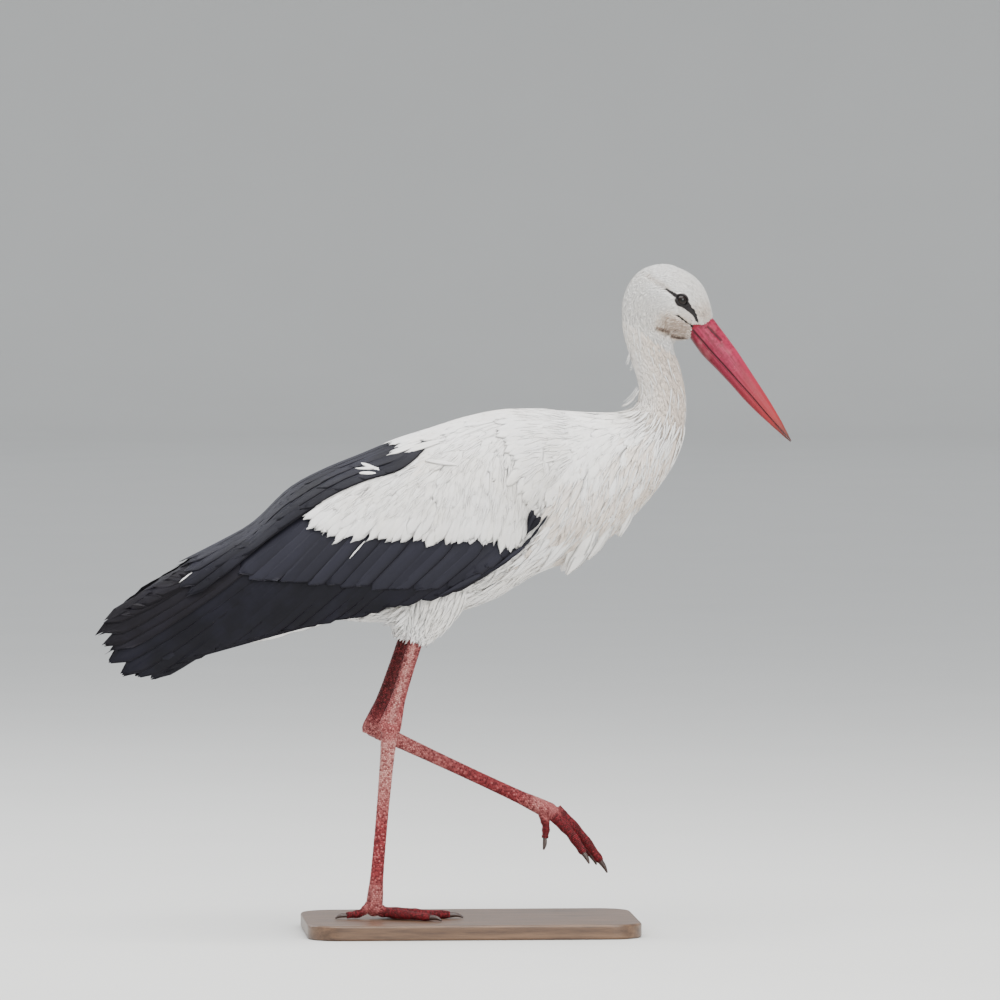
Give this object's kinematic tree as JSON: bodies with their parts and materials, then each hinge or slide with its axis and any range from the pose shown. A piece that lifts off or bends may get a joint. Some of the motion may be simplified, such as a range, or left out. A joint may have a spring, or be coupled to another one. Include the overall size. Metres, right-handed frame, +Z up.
{
  "type": "white stork model",
  "caption": "Life-size white stork in mid stride on one leg, black flight feathers, red bill and legs, on a flat display base.",
  "frame": {"origin": "centre of the underside of the display base", "axes": "+X forward towards the bill, +Y to the bird's left, +Z up"},
  "size_m": [0.8325, 0.24, 0.8029],
  "materials": {
    "white_feathers": "soft matt contour feathers, off-white with grey and buff tones",
    "black_feathers": "stiff flight feathers, black with a faint blue-purple gloss",
    "bill_horn": "satin red horn, browner at the tip",
    "leg_skin": "red scaly skin with pale dust near the ankle",
    "claw_horn": "dark blunt claws",
    "eye_gloss": "polished dark brown eye",
    "base_wood": "dark stained board with satin varnish"
  },
  "bodies": {
    "root": {"head": "white_feathers", "neck_upper": "white_feathers", "neck_lower": "white_feathers", "trunk": "white_feathers", "breast_plumes": "white_feathers", "tail": "white_feathers", "right_thigh": "white_feathers", "left_thigh": "white_feathers", "wing_left_coverts": "white_feathers", "wing_right_coverts": "white_feathers", "wing_left_scapulars": "black_feathers", "wing_right_scapulars": "black_feathers", "wing_left_secondaries": "black_feathers", "wing_right_secondaries": "black_feathers", "wing_left_primaries": "black_feathers", "wing_right_primaries": "black_feathers", "bill_upper": "bill_horn", "bill_lower": "bill_horn", "eye_left": "eye_gloss", "eye_right": "eye_gloss", "right_shank": "leg_skin", "right_tarsus": "leg_skin", "right_hallux": "leg_skin", "right_inner_toe": "leg_skin", "right_middle_toe": "leg_skin", "right_outer_toe": "leg_skin", "left_shank": "leg_skin", "left_tarsus": "leg_skin", "left_hallux": "leg_skin", "left_inner_toe": "leg_skin", "left_middle_toe": "leg_skin", "left_outer_toe": "leg_skin", "right_hallux_claw": "claw_horn", "right_inner_toe_claw": "claw_horn", "right_middle_toe_claw": "claw_horn", "right_outer_toe_claw": "claw_horn", "left_hallux_claw": "claw_horn", "left_inner_toe_claw": "claw_horn", "left_middle_toe_claw": "claw_horn", "left_outer_toe_claw": "claw_horn", "stand_base": "base_wood"}
  },
  "joints": []
}
